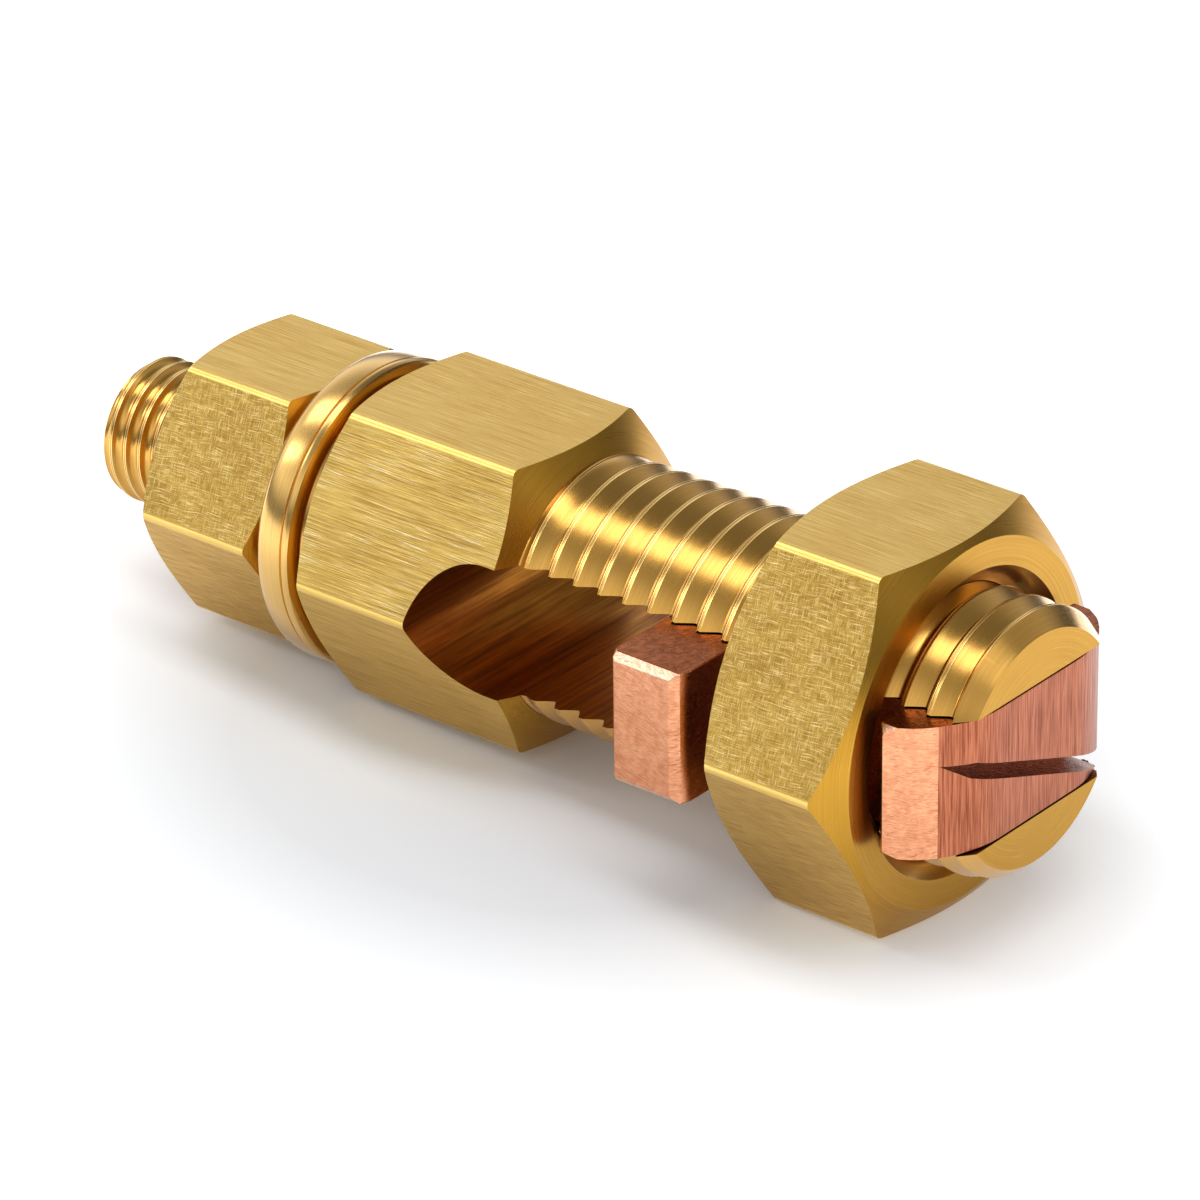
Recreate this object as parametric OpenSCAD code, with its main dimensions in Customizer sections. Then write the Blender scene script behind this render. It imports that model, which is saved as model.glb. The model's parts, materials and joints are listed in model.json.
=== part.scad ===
// Split bolt connector in brass with a copper pressure bar, in millimetres.
// +X runs along the bolt from the stud to the split end and +Z is up.
// The origin is the centre of the half-round conductor seat, where it crosses the bolt's axis.

/* [Split bolt] */
// Width across the flats of the hexagon body
hex_af = 20.5; // [19:0.5:24]
// Length of the hexagon body, chamfers included
hex_len = 16.5; // [16:0.5:20]
// Outer diameter of the threaded shank
shank_d = 18; // [16.5:0.25:18.5]
// Distance between two crests of the shank's thread
shank_pitch = 2; // [1.5:0.25:2]
// Depth of the shank's thread, below its crests
shank_thread_depth = 0.62; // [0.4:0.02:0.7]
// Length of the shank beyond the hexagon body
shank_len = 35.5; // [34:0.5:42]
// Diameter of the flat left at the shank's chamfered end
shank_end_d = 15.8; // [15:0.2:16]
// Height of the slot that splits the shank
slot_h = 9.4; // [8:0.2:9.6]
// Distance from the hexagon's shoulder to the centre of the conductor seat
seat_inset = 14.9; // [13:0.1:15.5]
// Outer diameter of the stud
stud_d = 10; // [8:0.5:11]
// Distance between two crests of the stud's thread
stud_pitch = 1.25; // [1:0.25:1.5]
// Depth of the stud's thread, below its crests
stud_thread_depth = 0.42; // [0.3:0.02:0.6]
// Length of the stud beyond the hexagon's shoulder
stud_len = 22.5; // [21:0.5:28]
// Depth of the chamfer at the stud's tip
stud_chamfer = 0.8; // [0.4:0.1:1.2]
// Angle of every hexagon's end chamfer
chamfer_angle = 30; // [20:1:35]

/* [Clamp nut] */
// Width across the flats of the clamp nut
clamp_af = 25.5; // [24:0.5:30]
// Thickness of the clamp nut
clamp_t = 10.8; // [9:0.2:12]
// Radial width of the countersink at each mouth of the clamp nut's bore
clamp_sink = 1.3; // [0.6:0.1:1.5]

/* [Pressure bar] */
// Thickness of the inner head, along the bolt
inner_t = 5.7; // [4.5:0.1:7]
// Width of the inner head, across the bolt
inner_w = 26.4; // [24:0.2:30]
// Thickness of the outer head, along the bolt
outer_t = 4.7; // [4.2:0.1:5.5]
// Width of the outer head, across the bolt
outer_w = 21; // [20:0.2:24]
// Depth of the crown that rounds both ends of the outer head's face
crown_depth = 2.6; // [1.8:0.1:2.8]
// Width of the level middle of the outer head's face
crown_flat = 8; // [5:0.5:10]
// Width of the neck between the heads
neck_w = 14; // [10:0.2:14.4]
// Bevel along the heads' edges
bar_bevel = 0.5; // [0.3:0.1:0.8]
// Width of the saw cut in the outer head's face
saw_w = 1.05; // [0.8:0.05:1.6]
// Depth of the saw cut
saw_depth = 3.4; // [2:0.2:3.6]
// Slant of the saw cut against the slot
saw_angle = 20.5; // [15:0.5:24]
// Distance of the saw cut below the bolt's axis
saw_drop = 1.3; // [0.8:0.1:1.6]

/* [Stud nut and washer] */
// Width across the flats of the stud nut
stud_nut_af = 18; // [17:0.5:20]
// Thickness of the stud nut
stud_nut_t = 10.6; // [8:0.2:12]
// Outer diameter of the washer
washer_d = 21.2; // [19:0.2:24]
// Thickness of the washer
washer_t = 3.8; // [2.6:0.1:5]
// Chamfer on the washer's face towards the stud nut
washer_chamfer = 0.6; // [0.3:0.1:0.9]
// Chamfer on the washer's face towards the hexagon body
washer_back_chamfer = 0.8; // [0.4:0.1:1]

/* [Clearances] */
// Radial clearance between a thread's crests and its nut
thread_clear = 0.08; // [0.05:0.01:0.1]
// Radial clearance between the stud and the washer
washer_clear = 0.25; // [0.15:0.05:0.4]
// Clearance above and below the pressure bar in the slot
bar_clear = 0.1; // [0.05:0.05:0.3]
// Gap between the inner head and the clamp nut
inner_gap = 1.75; // [0.3:0.05:2]
// Gap between the clamp nut and the outer head
outer_gap = 0.75; // [0.3:0.05:1]

/* [Hidden] */
$fn = 96;
eps = 0.01;
brass = [0.83, 0.66, 0.31];
copper = [0.80, 0.49, 0.38];

// Places along the bolt's axis
shoulder_x = -seat_inset;
stud_tip_x = shoulder_x - stud_len;
hex_end_x = shoulder_x + hex_len;
shank_end_x = hex_end_x + shank_len;
outer_x = shank_end_x - outer_t;
clamp_x = outer_x - outer_gap - clamp_t;
inner_x = clamp_x - inner_gap - inner_t;
washer_x = shoulder_x - washer_t;
stud_nut_x = washer_x - stud_nut_t;

// Sizes that follow from the driving ones
seat_r = slot_h / 2;
shank_r = shank_d / 2;
stud_r = stud_d / 2;
bar_h = slot_h - 2 * bar_clear;
clamp_bore_r = shank_r + thread_clear;
stud_bore_r = stud_r + thread_clear;
stud_sink = 0.8;
face_ratio = 0.96;  // a nut's flat end circle, as a share of its width across flats

// Threads as ring grooves: shares of the pitch that the back flank, the root and the front flank take.
// The shank's groove falls gently towards the split end and rises steeply, the stud's is even.
shank_form = [0.26, 0.12, 0.48];
stud_form = [0.31, 0.24, 0.31];
end_chamfer = (shank_d - shank_end_d) / 2;
shank_grooves = floor((shank_len - end_chamfer) / shank_pitch);
stud_grooves = floor((stud_len - stud_chamfer - 1) / stud_pitch);

// A turned shape about the bolt's axis, from [radius, x] points
module turned(points) {
    rotate([0, 90, 0]) rotate_extrude() polygon(points);
}

// A shape drawn in the Y-Z plane as [y, z], extruded from x = from to x = to
module along_x(from, to) {
    translate([from, 0, 0]) rotate([90, 0, 90]) linear_extrude(to - from) children();
}

// A hexagon bar with flats above and below, its ends chamfered down to two given radii
module hex_blank(af, from, to, from_r, to_r) {
    ridge_r = af / sqrt(3);
    slope = tan(chamfer_angle);
    intersection() {
        translate([from, 0, 0]) rotate([0, 90, 0]) rotate([0, 0, 30])
            cylinder(r = ridge_r, h = to - from, $fn = 6);
        turned([
            [0, from], [from_r, from], [ridge_r + eps, from + (ridge_r + eps - from_r) * slope],
            [ridge_r + eps, to - (ridge_r + eps - to_r) * slope], [to_r, to], [0, to]
        ]);
    }
}

// A hexagon nut with a plain bore at the thread's crests and both of its mouths countersunk
module hex_nut(af, from, to, bore_r, sink) {
    face_r = af * face_ratio / 2;
    difference() {
        hex_blank(af, from, to, face_r, face_r);
        turned([
            [0, from - eps], [bore_r + sink + eps, from - eps], [bore_r, from + sink],
            [bore_r, to - sink], [bore_r + sink + eps, to + eps], [0, to + eps]
        ]);
    }
}

// The grooves of a thread as [radius, x] points, from its last crest back along the bolt
function grooves(r, depth, pitch, form, last_x, count) = [
    for (i = [0 : count - 1]) let (x = last_x - i * pitch) each [
        [r, x],
        [r - depth, x - form[0] * pitch],
        [r - depth, x - (form[0] + form[1]) * pitch],
        [r, x - (form[0] + form[1] + form[2]) * pitch]
    ]
];

// The shank, its grooves counted back from the chamfer of the split end
module shank() {
    last_x = shank_end_x - end_chamfer;
    turned(concat(
        [[0, hex_end_x - 1], [0, shank_end_x], [shank_end_d / 2, shank_end_x]],
        grooves(shank_r, shank_thread_depth, shank_pitch, shank_form, last_x, shank_grooves),
        [[shank_r, hex_end_x - 1]]
    ));
}

// The stud, its grooves counted from the chamfer of the tip
module stud() {
    last_x = stud_tip_x + stud_chamfer + stud_grooves * stud_pitch;
    turned(concat(
        [[0, shoulder_x + 1], [stud_r, shoulder_x + 1]],
        grooves(stud_r, stud_thread_depth, stud_pitch, stud_form, last_x, stud_grooves),
        [[stud_r, stud_tip_x + stud_chamfer], [stud_r - stud_chamfer, stud_tip_x], [0, stud_tip_x]]
    ));
}

// The slot between the legs, with the half-round conductor seat at its closed end
module slot() {
    across = 2 * hex_af;
    translate([0, -across / 2, -seat_r]) cube([shank_end_x + 1, across, slot_h]);
    rotate([90, 0, 0]) cylinder(r = seat_r, h = across, center = true);
}

module split_bolt() {
    color(brass) difference() {
        union() {
            stud();
            hex_blank(hex_af, shoulder_x, hex_end_x, hex_af * 0.47, shank_r);
            shank();
        }
        slot();
    }
}

// Plan of the inner head, as [x, y] points
function inner_plan() = let (w = inner_w / 2, b = 1.6 * bar_bevel, c = bar_bevel) [
    [inner_x, -w + c], [inner_x + c, -w], [inner_x + inner_t - b, -w], [inner_x + inner_t, -w + b],
    [inner_x + inner_t, w - b], [inner_x + inner_t - b, w], [inner_x + c, w], [inner_x, w - c]
];

// Plan of the outer head: a level middle that rounds off to both flared sides
function crown(side) = let (
    half = outer_w / 2 - 2 * bar_bevel,
    run = half - crown_flat / 2,
    r = (run * run + crown_depth * crown_depth) / (2 * crown_depth),
    sweep = asin(run / r),
    steps = 8
) [for (i = [0 : steps]) let (a = sweep * (side > 0 ? steps - i : i) / steps)
    [shank_end_x - r + r * cos(a), side * (crown_flat / 2 + r * sin(a))]];

function outer_plan() = let (w = outer_w / 2, b = bar_bevel) concat(
    [[outer_x, w - b], [outer_x, -w + b], [outer_x + b, -w]],
    [for (p = [len(crown(-1)) - 1 : -1 : 0]) crown(-1)[p]],
    [for (p = [len(crown(1)) - 1 : -1 : 0]) crown(1)[p]],
    [[outer_x + b, w]]
);

// A head: its plan at the bar's height, with the long edges above and below bevelled
module head(plan, width) {
    h = bar_h / 2;
    b = bar_bevel;
    intersection() {
        translate([0, 0, -h]) linear_extrude(bar_h) polygon(plan);
        along_x(inner_x - 1, shank_end_x + 1) polygon([
            [-width / 2 + b, -h], [width / 2 - b, -h], [width / 2, -h + b], [width / 2, h - b],
            [width / 2 - b, h], [-width / 2 + b, h], [-width / 2, h - b], [-width / 2, -h + b]
        ]);
    }
}

// The slanted saw cut, closed in a point on one side and open on the other
module saw_cut() {
    near = -outer_w / 2 + 1.6;
    tip = 2.2;
    translate([0, 0, -saw_drop]) rotate([-saw_angle, 0, 0])
        along_x(shank_end_x - saw_depth, shank_end_x + 1) polygon([
            [near, 0], [near + tip, saw_w / 2], [outer_w, saw_w / 2],
            [outer_w, -saw_w / 2], [near + tip, -saw_w / 2]
        ]);
}

module pressure_bar() {
    color(copper) difference() {
        union() {
            head(inner_plan(), inner_w);
            head(outer_plan(), outer_w);
            translate([inner_x + inner_t - 1, -neck_w / 2, -bar_h / 2])
                cube([outer_x - inner_x - inner_t + 2, neck_w, bar_h]);
        }
        saw_cut();
    }
}

module clamp_nut() {
    color(brass) hex_nut(clamp_af, clamp_x, clamp_x + clamp_t, clamp_bore_r, clamp_sink);
}

module stud_washer() {
    r = washer_d / 2;
    bore_r = stud_r + washer_clear;
    color(brass) turned([
        [bore_r, washer_x], [r - washer_chamfer, washer_x], [r, washer_x + washer_chamfer],
        [r, shoulder_x - washer_back_chamfer], [r - washer_back_chamfer, shoulder_x],
        [bore_r, shoulder_x]
    ]);
}

module stud_nut() {
    color(brass) hex_nut(stud_nut_af, stud_nut_x, stud_nut_x + stud_nut_t, stud_bore_r, stud_sink);
}

split_bolt();
pressure_bar();
clamp_nut();
stud_washer();
stud_nut();
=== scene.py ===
# %% [markdown]
# # A split bolt connector in brass and copper
#
# The connector joins two wires. They lie across a slot that is sawn down a threaded brass shank,
# and a copper bar is pressed onto them by a hexagon nut. A threaded stud with a washer and a nut of
# its own sticks out of the other end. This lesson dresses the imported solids: it cuts the real
# threads, breaks the sharp edges, and gives each surface the marks of the tool that made it.

# %% Load the solids
import json
import math

import bmesh
import bpy
from mathutils import Matrix, Vector

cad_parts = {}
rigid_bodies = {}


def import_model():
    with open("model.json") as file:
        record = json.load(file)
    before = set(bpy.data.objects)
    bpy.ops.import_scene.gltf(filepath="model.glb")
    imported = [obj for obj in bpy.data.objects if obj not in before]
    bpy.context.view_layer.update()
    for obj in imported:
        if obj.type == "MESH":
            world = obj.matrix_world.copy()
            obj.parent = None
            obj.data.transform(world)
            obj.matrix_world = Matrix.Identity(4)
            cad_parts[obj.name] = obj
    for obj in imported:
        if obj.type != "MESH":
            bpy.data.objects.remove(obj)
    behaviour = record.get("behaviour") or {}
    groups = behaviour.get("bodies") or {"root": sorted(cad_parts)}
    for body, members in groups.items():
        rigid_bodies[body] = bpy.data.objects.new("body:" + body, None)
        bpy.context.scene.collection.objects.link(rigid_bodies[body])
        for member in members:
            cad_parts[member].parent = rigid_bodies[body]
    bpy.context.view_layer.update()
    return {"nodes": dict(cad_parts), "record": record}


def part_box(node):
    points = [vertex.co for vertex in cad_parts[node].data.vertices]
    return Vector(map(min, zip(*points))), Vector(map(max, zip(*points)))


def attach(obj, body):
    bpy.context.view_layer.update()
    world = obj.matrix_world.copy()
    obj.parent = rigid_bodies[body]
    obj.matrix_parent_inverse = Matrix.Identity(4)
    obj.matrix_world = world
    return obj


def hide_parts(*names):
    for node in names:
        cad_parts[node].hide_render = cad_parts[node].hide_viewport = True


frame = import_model()

# %% [markdown]
# ## Sizes
#
# Every length comes from the solids themselves, so a piece that is built here lands where its solid
# is. The flats of a hexagon lie above and below, so its height is its width across flats.

# %% Read the sizes
MM = 0.001
TAN30 = math.tan(math.radians(30))
bolt_low, bolt_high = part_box("split_bolt")
nut_low, nut_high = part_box("clamp_nut")
washer_low, washer_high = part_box("stud_washer")
stud_nut_low, stud_nut_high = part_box("stud_nut")
bar_low, bar_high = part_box("pressure_bar")
shoulder_x = washer_high.x


def reach(node_name, x_from, x_to):
    """The largest distance from the bolt's axis that a solid reaches between two places along it."""
    mesh = frame["nodes"][node_name].data
    return max(math.hypot(v.co.y, v.co.z) for v in mesh.vertices if x_from <= v.co.x <= x_to)


seat = next(m for m in frame["record"]["mounts"] if m["name"] == "conductor_seat")
seat_r = seat["dims"]["r_mm"] * MM
shank_r = reach("split_bolt", nut_low.x, nut_high.x)
stud_r = reach("split_bolt", bolt_low.x, stud_nut_low.x)
stud_tip_r = reach("split_bolt", bolt_low.x - 0.01 * MM, bolt_low.x + 0.01 * MM)
shank_tip_r = reach("split_bolt", bolt_high.x - 0.01 * MM, bolt_high.x + 0.01 * MM)
hex_af = bolt_high.z - bolt_low.z
corner_r = hex_af / math.sqrt(3)
hex_end_x = max(v.co.x + (math.hypot(v.co.y, v.co.z) - shank_r) * TAN30
                for v in frame["nodes"]["split_bolt"].data.vertices
                if math.hypot(v.co.y, v.co.z) > shank_r + 0.5 * MM)
print(f"shank {2000 * shank_r:.2f}, stud {2000 * stud_r:.2f}, body {1000 * hex_af:.2f} across flats,"
      f" from {1000 * shoulder_x:.2f} to {1000 * hex_end_x:.2f}")

# %% [markdown]
# ## Helpers for the mesh work
#
# A bolt, a nut and a washer are all turned shapes, so most of them start as a profile that is spun
# about the X axis. The profile is a list of [x, r] points. Where the first and last point lie on
# the axis, the spin closes by itself.

# %% Spin, join and cut


def turned(profile, steps=144):
    """A turned shape: its half profile of (x, r) points, in metres, spun a full turn about the X axis."""
    bm = bmesh.new()
    points = [bm.verts.new((x, 0, r)) for x, r in profile]
    line = [bm.edges.new(pair) for pair in zip(points, points[1:])]
    if profile[0] != profile[-1] and profile[0][1] > 0:
        line.append(bm.edges.new((points[-1], points[0])))
    bmesh.ops.spin(bm, geom=points + line, cent=(0, 0, 0), axis=(1, 0, 0), angle=2 * math.pi,
                   steps=steps, use_merge=True)
    bmesh.ops.remove_doubles(bm, verts=bm.verts, dist=1e-7)
    bmesh.ops.recalc_face_normals(bm, faces=bm.faces)
    return bm


def points_of(geometry):
    """Only the vertices of what a bmesh operator returns."""
    return [g for g in geometry if isinstance(g, bmesh.types.BMVert)]


def extrude(bm, way):
    """Draws a flat outline out into a solid."""
    far = bmesh.ops.extrude_face_region(bm, geom=bm.faces[:])["geom"]
    bmesh.ops.translate(bm, verts=points_of(far), vec=way)


def hexagon_bar(across_flats, x_from, x_to, edge):
    """Hexagon bar stock along X with flats above and below, its six ridges rounded by `edge`."""
    bm = bmesh.new()
    bmesh.ops.create_circle(bm, cap_ends=True, segments=6, radius=across_flats / math.sqrt(3),
                            matrix=Matrix.Rotation(math.pi / 2, 4, "Y"))
    bmesh.ops.translate(bm, verts=bm.verts, vec=(x_from, 0, 0))
    extrude(bm, (x_to - x_from, 0, 0))
    ridges = [e for e in bm.edges if abs((e.verts[0].co - e.verts[1].co).normalized().x) > 0.99]
    bmesh.ops.bevel(bm, geom=ridges, offset=edge, affect="EDGES", segments=4, profile=0.5, material=-1)
    bmesh.ops.recalc_face_normals(bm, faces=bm.faces)
    return bm


def chamfer(bm, edges, width, segments):
    """Cuts edges back by a flat or slightly rounded bevel."""
    bmesh.ops.bevel(bm, geom=edges, offset=width, affect="EDGES", segments=segments, profile=0.5,
                    material=-1, clamp_overlap=True)


def piece(name, bm):
    """Turns a bmesh into an object of the scene, with its place in its mesh."""
    mesh = bpy.data.meshes.new(name)
    bm.to_mesh(mesh)
    bm.free()
    thing = bpy.data.objects.new(name, mesh)
    bpy.context.scene.collection.objects.link(thing)
    return thing


def machine(work, tool, operation):
    """Joins a tool's shape to the work, cuts it out, or keeps what they share. The tool is used up."""
    step = work.modifiers.new(operation.lower(), "BOOLEAN")
    step.operation, step.object, step.solver = operation, tool, "EXACT"
    shaped = bpy.data.meshes.new_from_object(work.evaluated_get(bpy.context.evaluated_depsgraph_get()))
    work.modifiers.clear()
    before, work.data = work.data, shaped
    bpy.data.meshes.remove(before)
    bpy.data.meshes.remove(tool.data)
    shaped.name = work.name
    return work


# %% [markdown]
# ## The threads
#
# A thread is one groove that climbs round the rod by a pitch each turn. A profile of one pitch is
# spun with a step along the axis, so each turn ends where the next begins. The thread of the shank
# is broad and shallow: its crest is a narrow flat, and its flank falls gently towards the split end
# and rises steeply on the other side. A nut's thread is the same shape cut a little larger, and
# both stay in mesh while the nut turns because they share one helix.

# %% Wind a threaded rod
THREAD_STEPS = 96


def threaded_rod(crest_r, depth, pitch, x_from, x_to, crest_x, form, run_out=None):
    """A rod with a right-handed thread. One crest stands at crest_x on the rod's +Y side. `form` gives
    the groove from one crest to the next as (share of the pitch, share of the depth) points. Towards
    `run_out`, a place on the axis, the groove fades to nothing within one pitch."""
    bm = bmesh.new()
    turns_before = math.ceil((crest_x - x_from) / pitch) + 2
    turns = turns_before + math.ceil((x_to - crest_x) / pitch) + 2
    start = crest_x - turns_before * pitch
    points = [bm.verts.new((start + a * pitch, crest_r - d * depth, 0)) for a, d in form]
    line = [bm.edges.new(pair) for pair in zip(points, points[1:])]
    bmesh.ops.spin(bm, geom=points + line, cent=(0, 0, 0), axis=(1, 0, 0), angle=2 * math.pi,
                   dvec=(pitch / THREAD_STEPS, 0, 0), steps=THREAD_STEPS)
    one_turn = bm.verts[:] + bm.edges[:] + bm.faces[:]
    for turn in range(1, turns):
        more = bmesh.ops.duplicate(bm, geom=one_turn)["geom"]
        bmesh.ops.translate(bm, verts=points_of(more), vec=(turn * pitch, 0, 0))
    bmesh.ops.remove_doubles(bm, verts=bm.verts, dist=2e-6)
    if run_out is not None:
        for v in bm.verts:
            share = min(max((v.co.x - run_out) / pitch, 0), 1)
            r = math.hypot(v.co.y, v.co.z)
            stretch = (crest_r + (r - crest_r) * share) / r
            v.co.y, v.co.z = v.co.y * stretch, v.co.z * stretch
    for place, side in ((x_from, -1), (x_to, 1)):
        bmesh.ops.bisect_plane(bm, geom=bm.verts[:] + bm.edges[:] + bm.faces[:], dist=1e-8,
                               plane_co=(place, 0, 0), plane_no=(side, 0, 0), clear_outer=True)
        rim = [e for e in bm.edges if e.is_boundary and all(abs(v.co.x - place) < 1e-7 for v in e.verts)]
        bmesh.ops.contextual_create(bm, geom=rim)
    bmesh.ops.recalc_face_normals(bm, faces=bm.faces)
    return bm


SHANK_PITCH, SHANK_DEPTH, SHANK_CREST_X = 2.0 * MM, 0.62 * MM, 1.45 * MM
STUD_PITCH, STUD_DEPTH, STUD_CREST_X = 1.25 * MM, 0.42 * MM, -30.4 * MM
SHANK_FORM = [(0, 0.05), (0.035, 0.05), (0.045, 0), (0.07, 0), (0.1, 0.07), (0.2, 0.26), (0.31, 0.48),
              (0.42, 0.69), (0.52, 0.87), (0.58, 0.96), (0.62, 1), (0.66, 0.98), (0.7, 0.88), (0.79, 0.5),
              (0.89, 0.08), (0.93, 0), (0.955, 0), (0.965, 0.05), (1, 0.05)]
STUD_FORM = [(0, 0.05), (0.03, 0.05), (0.045, 0), (0.085, 0), (0.12, 0.12), (0.19, 0.42), (0.28, 0.73),
             (0.38, 0.93), (0.5, 1), (0.62, 0.93), (0.72, 0.73), (0.81, 0.42), (0.88, 0.12), (0.915, 0),
             (0.955, 0), (0.97, 0.05), (1, 0.05)]

# %% [markdown]
# ## The split bolt
#
# The bolt starts as hexagon bar. A lathe turns both ends down and chamfers the hexagon's corners,
# which leaves the curved edges where cone and flat meet. Both threads are then cut, and a mill
# opens the slot with its half-round seat. The same order is followed here: bar, chamfers, shank,
# stud, slot.

# %% Turn and thread the bolt
RIDGE = 0.38 * MM
FADE = 0.2 * MM
CLEAR = 0.5 * MM
left_face_r = reach("split_bolt", shoulder_x - 0.01 * MM, shoulder_x + 0.01 * MM)
split_bolt = piece("split_bolt_machined", hexagon_bar(hex_af, shoulder_x, hex_end_x, RIDGE))
over = corner_r + CLEAR
chamfers = piece("chamfers", turned([
    (shoulder_x, 0), (shoulder_x, left_face_r), (shoulder_x + (over - left_face_r) * TAN30, over),
    (hex_end_x - (over - shank_r) * TAN30, over), (hex_end_x, shank_r), (hex_end_x, 0)]))
machine(split_bolt, chamfers, "INTERSECT")
print("bolt body:", len(split_bolt.data.polygons), "faces")

shank = piece("shank", threaded_rod(shank_r, SHANK_DEPTH, SHANK_PITCH, hex_end_x - 2 * MM, bolt_high.x,
                                    SHANK_CREST_X, SHANK_FORM, run_out=hex_end_x - FADE))
rod_end = piece("rod_end", turned([
    (hex_end_x - 3 * MM, 0), (hex_end_x - 3 * MM, shank_r + MM),
    (bolt_high.x - (shank_r - shank_tip_r), shank_r + 1e-6), (bolt_high.x, shank_tip_r), (bolt_high.x, 0)]))
machine(shank, rod_end, "INTERSECT")
stud = piece("stud", threaded_rod(stud_r, STUD_DEPTH, STUD_PITCH, bolt_low.x, shoulder_x + MM,
                                  STUD_CREST_X, STUD_FORM))
stud_end = piece("stud_end", turned([
    (bolt_low.x, 0), (bolt_low.x, stud_tip_r), (bolt_low.x + (stud_r - stud_tip_r), stud_r + 1e-6),
    (shoulder_x + 2 * MM, stud_r + MM), (shoulder_x + 2 * MM, 0)]))
machine(stud, stud_end, "INTERSECT")
machine(split_bolt, shank, "UNION")
machine(split_bolt, stud, "UNION")
print("threaded bolt:", len(split_bolt.data.polygons), "faces")

# %% Mill the slot
bm = bmesh.new()
bottom = bm.verts.new((0, -hex_af, -seat_r))
bmesh.ops.spin(bm, geom=[bottom], cent=(0, -hex_af, 0), axis=(0, 1, 0), angle=math.pi, steps=64)
bmesh.ops.remove_doubles(bm, verts=bm.verts, dist=1e-7)
past = [bm.verts.new((bolt_high.x + MM, -hex_af, side * seat_r)) for side in (-1, 1)]
low_end, high_end = sorted((v for v in bm.verts if len(v.link_edges) == 1), key=lambda v: v.co.z)
for pair in ((low_end, past[0]), (past[0], past[1]), (past[1], high_end)):
    bm.edges.new(pair)
bmesh.ops.contextual_create(bm, geom=bm.edges[:])
extrude(bm, (0, 2 * hex_af, 0))
bmesh.ops.recalc_face_normals(bm, faces=bm.faces)
print("slot cutter from x", round(1000 * min(v.co.x for v in bm.verts), 2))
machine(split_bolt, piece("slot_mill", bm), "DIFFERENCE")
print("slotted bolt:", len(split_bolt.data.polygons), "faces")

# %% Break the slot's edge on the hexagon
SLOT_EDGE = 0.16 * MM
OFF_THE_FACE, OFF_THE_SHANK = 0.3 * MM, 0.2 * MM


def on_slot_wall(face):
    """Whether a face of the bolt is part of the slot: level above and below the conductor, or round
    its seat."""
    n, c = face.normal, face.calc_center_median()
    if c.x > 0:
        return abs(n.z) > 0.99 and abs(abs(c.z) - seat_r) < 1e-5
    return c.x > -seat_r and abs(math.hypot(c.x, c.z) - seat_r) < 2e-5 and abs(n.y) < 0.01


bm = bmesh.new()
bm.from_mesh(split_bolt.data)
bmesh.ops.dissolve_degenerate(bm, dist=2e-6, edges=bm.edges)
wall = {f for f in bm.faces if on_slot_wall(f)}
outline = [e for e in bm.edges if len(e.link_faces) == 2 and sum(f in wall for f in e.link_faces) == 1
           and max(v.co.x for v in e.verts) < hex_end_x - OFF_THE_FACE
           and all(math.hypot(v.co.y, v.co.z) > shank_r + OFF_THE_SHANK for v in e.verts)]
chamfer(bm, outline, SLOT_EDGE, 2)
bmesh.ops.recalc_face_normals(bm, faces=bm.faces)
bm.to_mesh(split_bolt.data)
bm.free()
print("slot outline:", len(outline), "edges broken,", len(wall), "wall faces")

# %% [markdown]
# ## The nuts
#
# Each nut is a slice of the same kind of hexagon bar, chamfered on both faces, tapped and
# countersunk. The tap is a threaded rod a little larger than the bolt's own, and the countersink
# takes away the sharp start of the thread.

# %% Make both nuts
THREAD_PLAY = 0.06 * MM
FACE_SHARE = 0.48
DRILL_DEPTH = 1.2 * MM
CLAMP_SINK, STUD_SINK = 1.3 * MM, 0.8 * MM


def hexagon_nut(name, low, high, rod, sink):
    """A chamfered, tapped and countersunk nut between two corners of its solid. `rod` is the thread it
    runs on, and `sink` is how far the countersink's mouth stands out beyond that thread."""
    across = high.z - low.z
    face_r = FACE_SHARE * across
    reach_r = across / math.sqrt(3) + CLEAR
    nut = piece(name, hexagon_bar(across, low.x, high.x, RIDGE))
    cone = (reach_r - face_r) * TAN30
    machine(nut, piece(name + "_cone", turned([
        (low.x, 0), (low.x, face_r), (low.x + cone, reach_r), (high.x - cone, reach_r), (high.x, face_r),
        (high.x, 0)])), "INTERSECT")
    crest_r, depth, pitch, crest_x, form = rod
    tap = threaded_rod(crest_r + THREAD_PLAY, depth, pitch, low.x - MM, high.x + MM, crest_x, form)
    machine(nut, piece(name + "_tap", tap), "DIFFERENCE")
    mouth_r = crest_r + sink
    for x, side in ((low.x, 1), (high.x, -1)):
        drill_x = x + side * (sink + DRILL_DEPTH)
        drill = turned([(x - side * MM, 0), (x - side * MM, mouth_r + MM), (drill_x, crest_r - DRILL_DEPTH),
                        (drill_x, 0)])
        machine(nut, piece(name + "_drill", drill), "DIFFERENCE")
    print(name, len(nut.data.polygons), "faces")
    return nut


clamp_nut = hexagon_nut("clamp_nut_machined", nut_low, nut_high,
                        (shank_r, SHANK_DEPTH, SHANK_PITCH, SHANK_CREST_X, SHANK_FORM), CLAMP_SINK)
stud_nut = hexagon_nut("stud_nut_machined", stud_nut_low, stud_nut_high,
                       (stud_r, STUD_DEPTH, STUD_PITCH, STUD_CREST_X, STUD_FORM), STUD_SINK)

# %% [markdown]
# ## The washer
#
# The thick washer is turned from bar. Its rim is slightly crowned, with a chamfer towards the stud
# nut, and a fine groove parts a narrow bead from it. Towards the hexagon it steps down, so a dark
# gap shows there. Its face stands a hundredth of a millimetre off the nut's, so that the two never
# share one plane while the nut turns.

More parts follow.
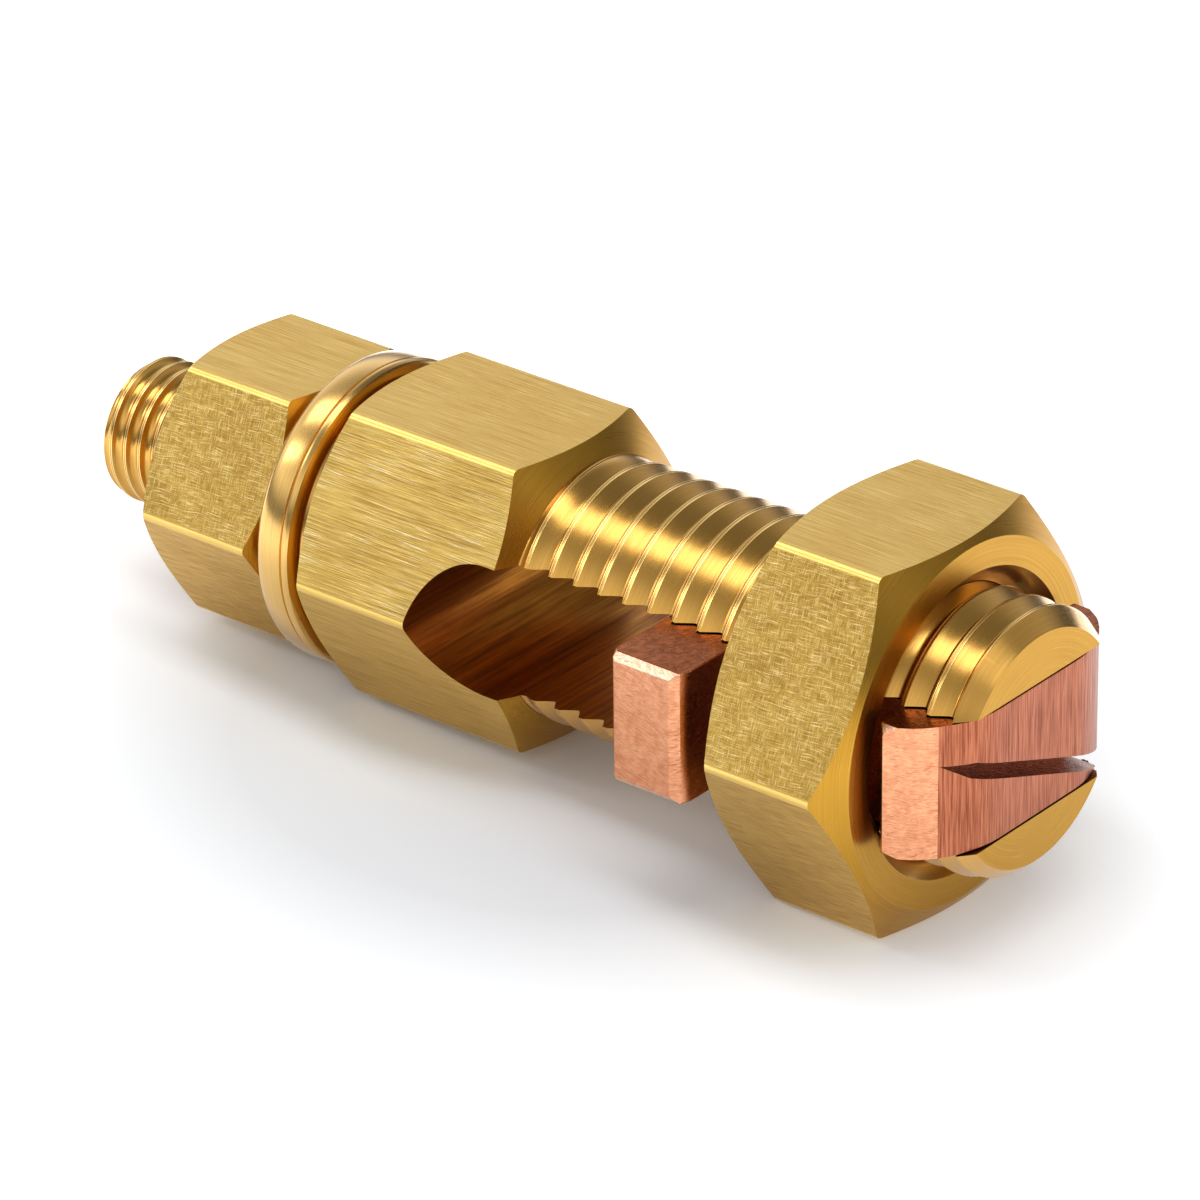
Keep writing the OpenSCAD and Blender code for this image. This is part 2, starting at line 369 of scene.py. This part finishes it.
# %% Turn the washer
washer_r = washer_high.z
bore_r = min(math.hypot(v.co.y, v.co.z) for v in frame["nodes"]["stud_washer"].data.vertices)
WASHER_SIDE = 0.01
WASHER_RIM = [(WASHER_SIDE, 0.8), (0.09, 0.68), (0.55, 0.18), (0.66, 0.1), (0.8, 0.06), (1.1, 0.02),
              (1.5, 0), (1.9, 0.02), (2.3, 0.06), (2.42, 0.08), (2.47, 0.2), (2.53, 0.2), (2.58, 0.08),
              (2.68, 0.02), (2.8, 0.02), (2.95, 0.06), (3.08, 0.14), (3.2, 0.4), (3.26, 1.2), (3.8, 1.3)]
rim = [(washer_low.x + x * MM, washer_r - down * MM) for x, down in WASHER_RIM]
washer = piece("stud_washer_turned", turned(
    [(washer_low.x + WASHER_SIDE * MM, bore_r)] + rim + [(washer_high.x, bore_r)], 192))
print("washer:", round(1000 * (washer_high.x - washer_low.x), 2), "mm wide,",
      round(2000 * washer_r, 2), "mm across")

# %% [markdown]
# ## The pressure bar
#
# The bar's form is in its solid already: a neck between two heads, with a crowned end face and a
# slanted saw cut. A copy of it is merged, and its flat faces are joined up again. The inner head's
# upright corners are cut back, with a wide chamfer on the nut's side and a small one on the other,
# and the other sharp edges are broken by a small bevel. The saw cut stays sharp.

# %% Break the bar's edges
OUTER_HEAD = 4.7 * MM
SAW_HALF_WIDTH = 10 * MM
SAW_WALL_Z, SAW_EDGE_Z = 4 * MM, 3.8 * MM
INNER_END_Y, SHORTEST_CORNER = 12 * MM, 2 * MM
WIDE_CHAMFER, SMALL_CHAMFER, BAR_EDGE = 1.25 * MM, 0.4 * MM, 0.14 * MM
outer_head_x = bar_high.x - OUTER_HEAD


def sawn(edge):
    """Whether an edge belongs to the slanted cut in the outer head."""
    for face in edge.link_faces:
        c = face.calc_center_median()
        if (abs(face.normal.x) < 0.9 and c.x > outer_head_x and abs(c.z) < SAW_WALL_Z
                and abs(c.y) < SAW_HALF_WIDTH):
            return True
    return all(v.co.x > outer_head_x and abs(v.co.z) < SAW_EDGE_Z for v in edge.verts)


bm = bmesh.new()
bm.from_mesh(frame["nodes"]["pressure_bar"].data)
bmesh.ops.remove_doubles(bm, verts=bm.verts, dist=1e-6)
bmesh.ops.dissolve_limit(bm, angle_limit=math.radians(1), verts=bm.verts, edges=bm.edges)
bmesh.ops.recalc_face_normals(bm, faces=bm.faces)
nut_side_x = max(v.co.x for v in bm.verts if v.co.x < nut_low.x and abs(v.co.y) > INNER_END_Y)
for corner_x, width in ((nut_side_x, WIDE_CHAMFER), (bar_low.x, SMALL_CHAMFER)):
    corners = [e for e in bm.edges
               if all(abs(v.co.x - corner_x) < 1e-5 and abs(v.co.y) > INNER_END_Y for v in e.verts)
               and abs(e.verts[0].co.z - e.verts[1].co.z) > SHORTEST_CORNER]
    print(len(corners), "upright corners at", round(1000 * corner_x, 2))
    chamfer(bm, corners, width, 1)
sharp = [e for e in bm.edges if e.is_manifold and e.calc_face_angle() > math.radians(25) and not sawn(e)]
chamfer(bm, sharp, BAR_EDGE, 2)
pressure_bar = piece("pressure_bar_formed", bm)
print("bar:", len(pressure_bar.data.polygons), "faces")

# %% [markdown]
# ## Smooth and sharp edges
#
# Faces that meet at a small angle are one curved surface, so they are shaded smooth. Wider angles
# stay sharp. A weighted normal keeps the broad flats flat where they meet their narrow rounded
# ridges.

# %% Shade every piece


def shade(thing, limit):
    """Smooths the surface apart from edges that turn by more than `limit` degrees."""
    bm = bmesh.new()
    bm.from_mesh(thing.data)
    for face in bm.faces:
        face.smooth = True
    for edge in bm.edges:
        edge.smooth = edge.is_manifold and edge.calc_face_angle() < math.radians(limit)
    bm.to_mesh(thing.data)
    bm.free()
    weigh = thing.modifiers.new("weighted normals", "WEIGHTED_NORMAL")
    weigh.keep_sharp = True
    weigh.weight = 80


for thing, limit in ((split_bolt, 29), (clamp_nut, 29), (stud_nut, 29), (washer, 30), (pressure_bar, 50)):
    shade(thing, limit)

# %% [markdown]
# ## Which tool made which face
#
# A finish follows the tool that made the face. The hexagon's flats are drawn or ground, cones and
# end faces are turned, threads are rolled smooth, and the slot is milled. A face's direction and
# its distance from the axis tell which it is.

# %% Sort the brass faces by how they were made
FLAT_TOP, FLAT_SIDE, FLAT_LOW, RIDGES, TURNED, THREAD, CREST, SLOT = range(8)
# The two lower side flats take a darker brass, which is painted shade.
FLAT_OF_SIDE = [FLAT_TOP, FLAT_SIDE, FLAT_LOW, FLAT_TOP, FLAT_LOW, FLAT_SIDE]
SIDE_STEP = 40
EDGE_LINE = 0.004 * MM


def sort_faces(thing, shaft_r, ridge_r, crests=()):
    """Gives each face of a hexagon piece the number of its finish, and lays a map in mm over the flats:
    U runs along the bolt and V across the flat. `ridge_r` is where a flat ends and its rounded ridge
    begins, and `crests` are the radii of the threads' crests."""
    bm = bmesh.new()
    bm.from_mesh(thing.data)
    tool_map = bm.loops.layers.uv.new("tool_mm")
    for face in bm.faces:
        n, c = face.normal, face.calc_center_median()
        r = math.hypot(c.y, c.z)
        sixths = math.degrees(math.atan2(n.y, n.z)) / 60
        side = round(sixths) % 6
        lean = abs(sixths - round(sixths))
        if thing is split_bolt and on_slot_wall(face):
            face.material_index = SLOT
        elif abs(n.x) > 0.999 or r < shaft_r and abs(n.x) > 0.9:
            face.material_index = TURNED
        elif r < shaft_r:
            on_crest = any(all(abs(math.hypot(v.co.y, v.co.z) - crest) < EDGE_LINE for v in face.verts)
                           for crest in crests)
            face.material_index = CREST if on_crest else THREAD
        elif abs(n.x) < 0.05 and lean < 0.02:
            face.material_index = FLAT_OF_SIDE[side]
        elif abs(n.x) < 0.05 and r > ridge_r:
            face.material_index = RIDGES
        else:
            face.material_index = TURNED
        across = n.cross(Vector((1, 0, 0)))
        for loop in face.loops:
            loop[tool_map].uv = (loop.vert.co.x / MM, loop.vert.co.dot(across) / MM + SIDE_STEP * side)
    bm.to_mesh(thing.data)
    bm.free()


sort_faces(split_bolt, shank_r + 0.02 * MM, hex_af / 2 + 0.2 * MM, (shank_r, stud_r))
sort_faces(clamp_nut, shank_r + 0.1 * MM, (nut_high.z - nut_low.z) / 2 + 0.2 * MM)
sort_faces(stud_nut, stud_r + 0.1 * MM, (stud_nut_high.z - stud_nut_low.z) / 2 + 0.2 * MM)

# %% [markdown]
# ## Materials
#
# Metals are a colour and a roughness, and nearly all of their character is in the marks of the last
# tool. Each finish below is one Principled shader whose bump, roughness and tint come from noise
# that is stretched along the tool's path.

# %% Node helpers
PER_MM = 1 / MM
MARK_DEPTH = 0.02 * MM
ROUGHNESS_SWING = 0.06


def linear(hex_colour):
    """An sRGB colour such as "#d8b25a" as the linear RGBA that a shader takes."""
    parts = [int(hex_colour[i:i + 2], 16) / 255 for i in (1, 3, 5)]
    return [p / 12.92 if p <= 0.04045 else ((p + 0.055) / 1.055) ** 2.4 for p in parts] + [1]


def add(tree, kind, inputs=None, **settings):
    """Adds a node to a tree with its settings, and sets or links its inputs."""
    made = tree.nodes.new(kind)
    for name, value in settings.items():
        setattr(made, name, value)
    for name, value in (inputs or {}).items():
        if isinstance(value, bpy.types.NodeSocket):
            tree.links.new(value, made.inputs[name])
        else:
            made.inputs[name].default_value = value
    return made


def spread(tree, value, low, high, to_low=0.0, to_high=1.0):
    """Spreads the part of a pattern between two levels over a new range, and clamps the rest."""
    return add(tree, "ShaderNodeMapRange", {"Value": value, "From Min": low, "From Max": high,
               "To Min": to_low, "To Max": to_high}).outputs[0]


def combine(tree, operation, first, second):
    """One arithmetic step between two patterns or numbers."""
    return add(tree, "ShaderNodeMath", {0: first, 1: second}, operation=operation).outputs[0]


def lines(tree, place, size, turn=(0, 0, 0), detail=3.0):
    """Noise whose grains are `size` mm long in each direction, after the place is turned by `turn`, in
    radians."""
    aligned = add(tree, "ShaderNodeMapping", {"Vector": place, "Rotation": turn},
                  vector_type="TEXTURE").outputs[0]
    grains = add(tree, "ShaderNodeVectorMath", {0: aligned, 1: [1 / length for length in size]},
                 operation="MULTIPLY").outputs[0]
    return add(tree, "ShaderNodeTexNoise", {"Vector": grains, "Scale": 1.0, "Detail": detail,
               "Roughness": 0.55}).outputs["Fac"]


def metal(name, dark, light, marks, roughness, bump=0.4, shine=0.0, pale="#f3e2a8"):
    """A metal with the marks of one tool. `marks` builds two patterns around 0 to 1: the grain, which
    tints the metal between dark and light, and the scratches, which show pale. `shine` is the strength
    of a thin clear lacquer."""
    material = bpy.data.materials.new(name)
    material.use_nodes = True
    tree = material.node_tree
    tree.nodes.clear()
    in_mm = add(tree, "ShaderNodeVectorMath", {0: add(tree, "ShaderNodeTexCoord").outputs["Object"],
                "Scale": PER_MM}, operation="SCALE").outputs[0]
    on_flat = add(tree, "ShaderNodeUVMap", uv_map="tool_mm").outputs[0]
    grain, scratches = marks(tree, in_mm, on_flat)
    cloud = spread(tree, lines(tree, in_mm, (6, 4, 4)), 0.3, 0.7, -0.12, 0.12)
    tint = combine(tree, "ADD", grain, cloud)
    colour = add(tree, "ShaderNodeMix", {"Factor": tint, 6: linear(dark), 7: linear(light)},
                 data_type="RGBA").outputs[2]
    colour = add(tree, "ShaderNodeMix", {"Factor": scratches, 6: colour, 7: linear(pale)},
                 data_type="RGBA").outputs[2]
    rough = spread(tree, tint, 0, 1, roughness + ROUGHNESS_SWING, roughness - ROUGHNESS_SWING)
    height = combine(tree, "SUBTRACT", grain, scratches)
    relief = add(tree, "ShaderNodeBump", {"Height": height, "Strength": bump,
                 "Distance": MARK_DEPTH}).outputs[0]
    shader = add(tree, "ShaderNodeBsdfPrincipled", {
        "Base Color": colour, "Metallic": 1.0, "Roughness": rough, "Normal": relief, "Coat Weight": shine,
        "Coat Roughness": 0.2, "Coat IOR": 1.6})
    add(tree, "ShaderNodeOutputMaterial", {"Surface": shader.outputs[0]})
    return material


# %% [markdown]
# ### The marks
#
# Grinding leaves long lines along the bolt. The nuts' side flats were rubbed by hand on fine cloth,
# so their short scratches cross like linen. A lathe leaves rings. They are built from 4D noise of
# the place along the axis, the distance from it and the heading round it, so no seam shows where a
# ring closes.
#
# Real scratches like these are a few hundredths of a millimetre wide at most, which is too fine to
# show in a picture of the whole connector. They are drawn 0.06 to 0.1 mm wide, as coarse as they
# need to be to show.

# %% Patterns of the tools


def ground(tree, in_mm, on_flat):
    """Fine ground lines along the bolt with a few long scratches."""
    fine = lines(tree, on_flat, (5, 0.06, 1))
    broad = lines(tree, on_flat, (9, 0.15, 1), detail=2.0)
    grain = spread(tree, combine(tree, "ADD", combine(tree, "MULTIPLY", fine, 0.8),
                   combine(tree, "MULTIPLY", broad, 0.2)), 0.36, 0.64)
    scratches = spread(tree, lines(tree, on_flat, (2.5, 0.07, 1), (0, 0, 0.07)), 0.62, 0.7, 0, 0.6)
    return grain, scratches


def brushed(tree, in_mm, on_flat):
    """Strong brushed lines along the bolt, broken into strokes, with pale scratches."""
    fine = lines(tree, on_flat, (6, 0.055, 1))
    broad = lines(tree, on_flat, (5, 0.1, 1), (0, 0, 0.02), detail=2.0)
    grain = spread(tree, combine(tree, "ADD", combine(tree, "MULTIPLY", fine, 0.6),
                   combine(tree, "MULTIPLY", broad, 0.4)), 0.38, 0.62)
    long_ones = spread(tree, lines(tree, on_flat, (4, 0.06, 1), (0, 0, -0.02)), 0.57, 0.65, 0, 0.9)
    where = spread(tree, lines(tree, on_flat, (7, 3, 1), detail=1.0), 0.4, 0.6, 0.25, 1)
    return grain, combine(tree, "MULTIPLY", long_ones, where)


def rubbed(tree, in_mm, on_flat):
    """Short scratches that cross at nearly right angles, like linen."""
    bend = add(tree, "ShaderNodeTexNoise", {"Vector": on_flat, "Scale": 0.5,
               "Detail": 1.0}).outputs["Color"]
    bent = add(tree, "ShaderNodeVectorMath", {0: bend, "Scale": 0.35}, operation="SCALE").outputs[0]
    place = add(tree, "ShaderNodeVectorMath", {0: on_flat, 1: bent}, operation="ADD").outputs[0]
    along = lines(tree, place, (1.2, 0.06, 1), (0, 0, 0.05))
    over = lines(tree, place, (0.06, 0.8, 1), (0, 0, 0.08))
    slanting = lines(tree, place, (0.7, 0.06, 1), (0, 0, 0.8))
    grain = spread(tree, combine(tree, "ADD", combine(tree, "MULTIPLY", along, 0.5),
                   combine(tree, "MULTIPLY", over, 0.5)), 0.38, 0.62)
    strokes = combine(tree, "MAXIMUM", combine(tree, "MAXIMUM", spread(tree, along, 0.59, 0.67, 0, 0.85),
                      spread(tree, over, 0.6, 0.68, 0, 0.55)), spread(tree, slanting, 0.64, 0.7, 0, 0.6))
    return grain, strokes


def slanted(tree, in_mm, on_flat):
    """Fine lines that cross the flat on a slant, with a few scratches in arcs."""
    fine = lines(tree, on_flat, (2.5, 0.08, 1), (0, 0, 0.12))
    cross = lines(tree, on_flat, (1.6, 0.1, 1), (0, 0, -0.5))
    grain = spread(tree, combine(tree, "ADD", combine(tree, "MULTIPLY", fine, 0.65),
                   combine(tree, "MULTIPLY", cross, 0.35)), 0.37, 0.63)
    return grain, spread(tree, lines(tree, on_flat, (1.8, 0.07, 1), (0, 0, 0.35)), 0.64, 0.74, 0, 0.35)


def rings(tree, in_mm, ring, around):
    """Lathe rings `ring` mm wide, which change slowly on their way round the axis."""
    off_axis = add(tree, "ShaderNodeVectorMath", {0: in_mm, 1: (0, 1, 1)}, operation="MULTIPLY").outputs[0]
    radius = add(tree, "ShaderNodeVectorMath", {0: off_axis}, operation="LENGTH").outputs["Value"]
    outwards = add(tree, "ShaderNodeVectorMath", {0: off_axis}, operation="NORMALIZE").outputs[0]
    turning = add(tree, "ShaderNodeVectorMath", {0: outwards, "Scale": around},
                  operation="SCALE").outputs[0]
    heading = add(tree, "ShaderNodeSeparateXYZ", {0: turning})
    along = combine(tree, "MULTIPLY", add(tree, "ShaderNodeSeparateXYZ", {0: in_mm}).outputs[0], 1 / ring)
    from_axis = combine(tree, "MULTIPLY", radius, 1 / ring)
    place = add(tree, "ShaderNodeCombineXYZ", {0: along, 1: heading.outputs[1],
                2: heading.outputs[2]}).outputs[0]
    return add(tree, "ShaderNodeTexNoise", {"Vector": place, "W": from_axis, "Scale": 1.0, "Detail": 2.5},
               noise_dimensions="4D").outputs["Fac"]


def lathe(tree, in_mm, on_flat):
    """The cutter's rings on a cone or an end face."""
    grain = spread(tree, rings(tree, in_mm, 0.07, 1.0), 0.2, 0.8)
    return grain, spread(tree, rings(tree, in_mm, 0.07, 2.0), 0.66, 0.8, 0, 0.3)


def rolled(tree, in_mm, on_flat):
    """A rolled thread: nearly smooth, with hair-fine rings."""
    grain = spread(tree, rings(tree, in_mm, 0.1, 1.0), 0.2, 0.8)
    return grain, spread(tree, rings(tree, in_mm, 0.06, 1.0), 0.72, 0.9, 0, 0.1)


def milled(tree, in_mm, on_flat):
    """The slot's walls: lines along Y that the cutter left as it passed through."""
    grain = spread(tree, lines(tree, in_mm, (0.35, 9, 0.35)), 0.3, 0.7)
    return grain, spread(tree, lines(tree, in_mm, (0.1, 3, 0.1)), 0.66, 0.76, 0, 0.15)


def upright(tree, in_mm, on_flat):
    """Brushed lines along Z on the bar's end."""
    grain = spread(tree, lines(tree, in_mm, (0.12, 0.12, 4)), 0.34, 0.66)
    return grain, spread(tree, lines(tree, in_mm, (0.08, 0.08, 2)), 0.64, 0.76, 0, 0.3)


def hammered(tree, in_mm, on_flat):
    """Copper as the press and the shears left it: shallow dents, dark nicks and short pale scratches."""
    dents = lines(tree, in_mm, (0.5, 0.5, 0.7), (0.3, 0.2, 0.4))
    hairs = lines(tree, in_mm, (0.6, 0.6, 0.06), (0.2, 0.3, 0.1))
    nicks = lines(tree, in_mm, (0.9, 0.9, 0.05), (0.3, -0.2, 0.1))
    grain = spread(tree, combine(tree, "ADD", combine(tree, "MULTIPLY", dents, 0.35),
                   combine(tree, "MULTIPLY", hairs, 0.65)), 0.3, 0.62)
    grain = combine(tree, "SUBTRACT", grain, spread(tree, nicks, 0.62, 0.68, 0, 0.9))
    return grain, spread(tree, lines(tree, in_mm, (0.09, 0.5, 0.09), (0.5, 0, 0.9)), 0.64, 0.74, 0, 0.35)


# %% Brass and copper, each as its tool left it
brass_finishes = {
    # The top flats are ground along the bolt: even and satin, with a broad soft sheen.
    FLAT_TOP: metal("brass_ground_flat", "#d3a346", "#f9d782", ground, 0.36, 0.6),
    # The body's side flats are brushed by hand: strokes and bright scratches catch the light one by one.
    FLAT_SIDE: metal("brass_brushed_flat", "#a5813c", "#e2c06a", brushed, 0.38, 0.6, pale="#fff0c4"),
    # The lower flats are ground too. Their darker, browner brass is painted shade, as they face the floor.
    FLAT_LOW: metal("brass_fine_ground_flat_painted_shade", "#b89140", "#e7be60", ground, 0.38),
    # A ridge is polished by handling and painted paler, a painted highlight, so it draws one smooth bright
    # line.
    RIDGES: metal("brass_polished_ridge_painted_highlight", "#e0b960", "#edc873", ground, 0.3, 0.05),
    # Cones and end faces are turned: their fine rings spread a highlight out towards the rim.
    TURNED: metal("brass_turned", "#aa7c28", "#bd8e35", lathe, 0.3, 0.12),
    # A rolled thread is smooth and lacquered: deep amber between soft yellow lights.
    THREAD: metal("brass_rolled_thread", "#cc952f", "#dca743", rolled, 0.22, 0.03, shine=0.8),
    # The nut has rubbed the crests, and their pale brass is also a painted highlight: a light spiral round
    # the darker thread.
    CREST: metal("brass_burnished_crest_painted_highlight", "#efce7b", "#fbe6a4", rolled, 0.26, 0.05),
    # The mill left the slot dull, with streaks across the bolt. Its dark brown is painted shade, as the
    # slot is a recess.
    SLOT: metal("brass_milled_slot_painted_shade", "#7f4a14", "#b87a2a", milled, 0.34, 0.4, pale="#f0c070"),
}
# The nuts' side flats were rubbed on cloth, and look like linen.
brass_rubbed = metal("brass_rubbed_flat", "#a07a33", "#e0bb63", rubbed, 0.4, 0.8, pale="#fbe7a9")
# Their lower flats were ground on a slant and stay dull. Their darker brass is painted shade, as they face
# the floor.
brass_slanted_painted_shade = metal("brass_slant_ground_flat_painted_shade", "#ae863a", "#dcb258", slanted, 0.4, 0.5)
# The washer is turned and polished: a soft light above, a dark band below it.
brass_washer = metal("brass_polished_washer", "#d0a048", "#e2b65c", lathe, 0.21, 0.05, shine=1.0)
nut_finishes = {**brass_finishes, FLAT_SIDE: brass_rubbed, FLAT_LOW: brass_slanted_painted_shade}
# Pressed copper is pink and dented. The bar's end face is brushed upright, and its darker copper is
# painted shade. Its level faces are dark copper, which is painted shade, and its slanting bevels are
# rubbed and painted pale, partly wear and partly a painted highlight.
copper_pressed = metal("copper_pressed_face", "#c0734e", "#e6a57c", hammered, 0.32, 0.4, pale="#f4cbae")
copper_end_painted_shade = metal("copper_brushed_end_painted_shade", "#844530", "#b87152", upright, 0.34, 0.4, pale="#ecb091")
copper_painted_shade = metal("copper_painted_shade_face", "#6b3013", "#9c562a", hammered, 0.28, 0.4, pale="#cd8b6c")
copper_rubbed_highlight = metal("copper_rubbed_highlight_bevel", "#d79c7c", "#efc3a6", hammered, 0.3, 0.4, pale="#fff2e6")
PRESSED, BRUSHED_END, PAINTED_SHADE, RUBBED_HIGHLIGHT_BEVEL = range(4)

for thing, finishes in ((split_bolt, brass_finishes), (clamp_nut, nut_finishes), (stud_nut, nut_finishes)):
    for number in sorted(finishes):
        thing.data.materials.append(finishes[number])
washer.data.materials.append(brass_washer)
for finish in (copper_pressed, copper_end_painted_shade, copper_painted_shade, copper_rubbed_highlight):
    pressure_bar.data.materials.append(finish)
# The end face and the level faces take darker copper as painted shade, and the slanting bevels take paler
# copper, partly a painted highlight.
for face in pressure_bar.data.polygons:
    if face.normal.x > 0.8 and face.center.x > outer_head_x:
        face.material_index = BRUSHED_END
    elif abs(face.normal.z) > 0.9:
        face.material_index = PAINTED_SHADE
    elif abs(face.normal.y) > 0.3 and abs(face.normal.z) > 0.3:
        face.material_index = RUBBED_HIGHLIGHT_BEVEL
    else:
        face.material_index = PRESSED
print("materials:", len(bpy.data.materials))

# %% Put each piece on its body in place of its solid
for thing, body, node_name, slot_name in (
        (split_bolt, "bolt", "split_bolt", "brass"), (clamp_nut, "clamp_nut", "clamp_nut", "brass"),
        (stud_nut, "stud_nut", "stud_nut", "brass"), (washer, "washer", "stud_washer", "brass"),
        (pressure_bar, "bar", "pressure_bar", "copper")):
    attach(thing, body)
    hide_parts(node_name)
    print(thing.name, "rides on", body, "with", len(thing.data.polygons), "faces")

# %% [markdown]
# ## Floor, light and camera
#
# The connector lies on its washer and on its clamp nut, so the floor leans to touch both. A long
# softbox overhead gives the round surfaces their bright bands. A small one stands in front on the
# stud's side, and a square one beyond the split end. The room itself is dark at the horizon,
# brightest about 25 degrees above it and dim overhead. It is brightest towards the stud and the
# front, and less than half as bright elsewhere, which draws the amber bands between the lights.
# Further out, a glow in the paper keeps the backdrop white.

# %% Lay the floor
WASHER_REST, UNDER_THE_NUT = 1.2 * MM, 0.01 * MM
FLOOR_REACH = 3.0
GLOW_FROM, GLOW_TO = 25 * MM, 70 * MM
slope = math.atan2(nut_low.z - washer_low.z, nut_low.x - (washer_low.x + WASHER_REST))
bm = bmesh.new()
bmesh.ops.create_grid(bm, x_segments=1, y_segments=1, size=FLOOR_REACH)
bmesh.ops.rotate(bm, verts=bm.verts, matrix=Matrix.Rotation(-slope, 3, "Y"))
bmesh.ops.translate(bm, verts=bm.verts, vec=(nut_low.x, 0, nut_low.z - UNDER_THE_NUT))
floor = piece("floor", bm)
print("floor leans by", round(math.degrees(slope), 2), "degrees")

paper = bpy.data.materials.new("paper_backdrop")
paper.use_nodes = True
tree = paper.node_tree
tree.nodes.clear()
rays = add(tree, "ShaderNodeLightPath")
seen = combine(tree, "MAXIMUM", rays.outputs["Is Camera Ray"], rays.outputs["Is Glossy Ray"])
seen = combine(tree, "MAXIMUM", seen, rays.outputs["Is Transmission Ray"])
away = add(tree, "ShaderNodeVectorMath", {0: add(tree, "ShaderNodeTexCoord").outputs["Object"]},
           operation="LENGTH").outputs["Value"]
lift = combine(tree, "MULTIPLY", seen, spread(tree, away, GLOW_FROM, GLOW_TO, 0.03, 1.0))
matt = add(tree, "ShaderNodeBsdfDiffuse", {"Color": linear("#eef1f5")}).outputs[0]
glow = add(tree, "ShaderNodeEmission", {"Color": (1, 1, 1, 1), "Strength": lift}).outputs[0]
both = add(tree, "ShaderNodeAddShader", {0: matt, 1: glow}).outputs[0]
add(tree, "ShaderNodeOutputMaterial", {"Surface": both})
floor.data.materials.append(paper)

# %% Hang the softboxes
# The target is the place that the camera and the lamps look at, near the middle of the connector.
target = Vector((1.61 * MM, 0.55 * MM, -1.15 * MM))


def softbox(name, direction, distance, length, width, brightness):
    """A rectangular lamp that looks at the connector, with its length along the bolt. Its brightness is
    its radiance, where white paper is about 1."""
    light = bpy.data.lights.new(name, "AREA")
    light.shape, light.size, light.size_y = "RECTANGLE", length, width
    light.energy = brightness * math.pi * length * width
    holder = bpy.data.objects.new(name, light)
    outward = Vector(direction).normalized()
    along = (Vector((1, 0, 0)) - outward * outward.x).normalized()
    facing = Matrix((along, outward.cross(along), outward)).transposed().to_4x4()
    holder.matrix_world = Matrix.Translation(target + outward * distance) @ facing
    bpy.context.scene.collection.objects.link(holder)
    return holder


softbox("overhead_softbox", (-0.08, -0.08, 0.97), 0.6, 0.95, 0.2, 3.1)
softbox("front_softbox", (-0.6, -0.5, 0.63), 0.7, 0.3, 0.12, 3.6)
softbox("side_softbox", (0.84, 0.12, 0.53), 0.7, 0.3, 0.3, 1.0)

# %% Light the room
world = bpy.data.worlds.new("studio")
bpy.context.scene.world = world
world.use_nodes = True
tree = world.node_tree
tree.nodes.clear()
heading = add(tree, "ShaderNodeSeparateXYZ", {0: add(tree, "ShaderNodeTexCoord").outputs["Generated"]})
room = add(tree, "ShaderNodeValToRGB", {"Fac": heading.outputs[2]})
ROOM_LIGHT = [(0.0, 0.12), (0.18, 0.28), (0.3, 0.85), (0.42, 1.35), (0.6, 1.05), (0.75, 0.6), (1.0, 0.4)]
while len(room.color_ramp.elements) < len(ROOM_LIGHT):
    room.color_ramp.elements.new(1.0)
for stop, (level, brightness) in zip(room.color_ramp.elements, ROOM_LIGHT):
    stop.position, stop.color = level, (brightness, brightness, brightness, 1)
towards_stud = spread(tree, heading.outputs[0], -0.1, -0.5, 0.42, 1.0)
towards_viewer = spread(tree, heading.outputs[1], -0.1, -0.6, 0.42, 0.9)
strength = combine(tree, "MAXIMUM", towards_stud, towards_viewer)
sky = add(tree, "ShaderNodeBackground", {"Color": room.outputs[0], "Strength": strength}).outputs[0]
add(tree, "ShaderNodeOutputWorld", {"Surface": sky})

# %% Place the camera
CAMERA_DISTANCE = 0.5
azimuth, elevation, roll = (math.radians(a) for a in (39.388, 27.481, -0.7096))
ahead = Vector((-math.sin(azimuth) * math.cos(elevation), math.cos(azimuth) * math.cos(elevation),
                -math.sin(elevation)))
rightward = Vector((math.cos(azimuth), math.sin(azimuth), 0))
upward = rightward.cross(ahead)
level = Matrix((rightward, upward, -ahead)).transposed().to_4x4()
lens = bpy.data.cameras.new("camera")
lens.lens, lens.sensor_width, lens.clip_start, lens.clip_end = 231.79, 36, 0.01, 10
camera = bpy.data.objects.new("camera", lens)
tilt = Matrix.Rotation(roll, 4, "Z")
camera.matrix_world = Matrix.Translation(target - CAMERA_DISTANCE * ahead) @ level @ tilt
bpy.context.scene.collection.objects.link(camera)
bpy.context.scene.camera = camera
bpy.context.scene.view_settings.view_transform = "Standard"
